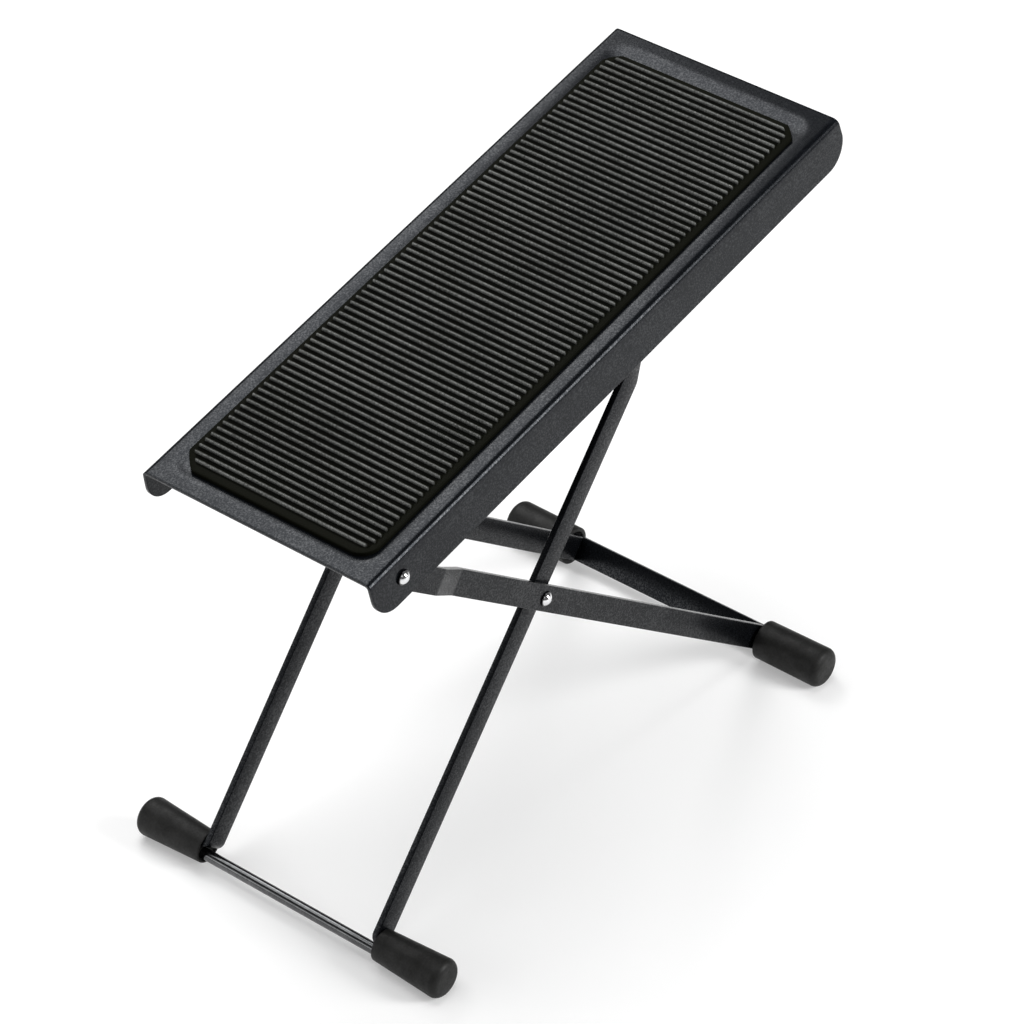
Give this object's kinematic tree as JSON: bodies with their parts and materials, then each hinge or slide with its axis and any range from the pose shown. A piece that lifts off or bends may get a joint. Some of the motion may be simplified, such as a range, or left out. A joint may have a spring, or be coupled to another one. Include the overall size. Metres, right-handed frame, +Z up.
{
  "type": "guitar footrest",
  "caption": "folding footrest for a seated guitarist: a sloping sheet steel plate with a ribbed rubber mat, on crossed flat steel frames with rubber feet",
  "frame": {"origin": "on the floor under the middle of the bounding box, footrest standing set up, its locking rod at the first notch", "axes": "+X towards the raised end of the plate, +Y to the far side, +Z up"},
  "size_m": [0.2978, 0.172, 0.2624],
  "materials": {
    "plate_paint": "dark grey powder coat, satin, very fine texture",
    "frame_paint": "black powder coat, satin",
    "mat_rubber": "black ribbed rubber, slightly glossy smooth border",
    "foot_rubber": "black moulded rubber, matt",
    "rivet_chrome": "bright nickel or chrome plate",
    "zinc_plate": "bright zinc plate"
  },
  "bodies": {
    "rear_frame": {"arm_near": "frame_paint", "arm_far": "frame_paint", "rear_cross_bar": "frame_paint", "rear_foot_near": "foot_rubber", "rear_foot_far": "foot_rubber", "crossing_rivet_near": "rivet_chrome", "crossing_rivet_far": "rivet_chrome", "crossing_spacer_near": "zinc_plate", "crossing_spacer_far": "zinc_plate", "crossing_washer_near": "zinc_plate", "crossing_washer_far": "zinc_plate"},
    "front_frame": {"leg_near": "frame_paint", "leg_far": "frame_paint", "front_cross_rod": "frame_paint", "front_foot_near": "foot_rubber", "front_foot_far": "foot_rubber", "locking_rod": "zinc_plate", "locking_rod_washer_near": "zinc_plate", "locking_rod_washer_far": "zinc_plate"},
    "plate": {"foot_plate": "plate_paint", "rubber_mat": "mat_rubber", "rack_near": "plate_paint", "rack_far": "plate_paint", "hinge_rivet_near": "rivet_chrome", "hinge_rivet_far": "rivet_chrome", "hinge_washer_near": "zinc_plate", "hinge_washer_far": "zinc_plate"}
  },
  "joints": [
    {"name": "leg_fold", "type": "hinge", "parent": "rear_frame", "child": "front_frame", "pos_m": [-0.03569, 0, 0.12586], "axis": [0, 1, 0], "range_deg": [0, 85]},
    {"name": "plate_fold", "type": "hinge", "parent": "rear_frame", "child": "plate", "pos_m": [-0.13026, 0, 0.19924], "axis": [0, 1, 0], "range_deg": [0, 42.5]}
  ],
  "couplings": [
    {"joint": "plate_fold", "follows": "leg_fold", "ratio": 0.5}
  ]
}
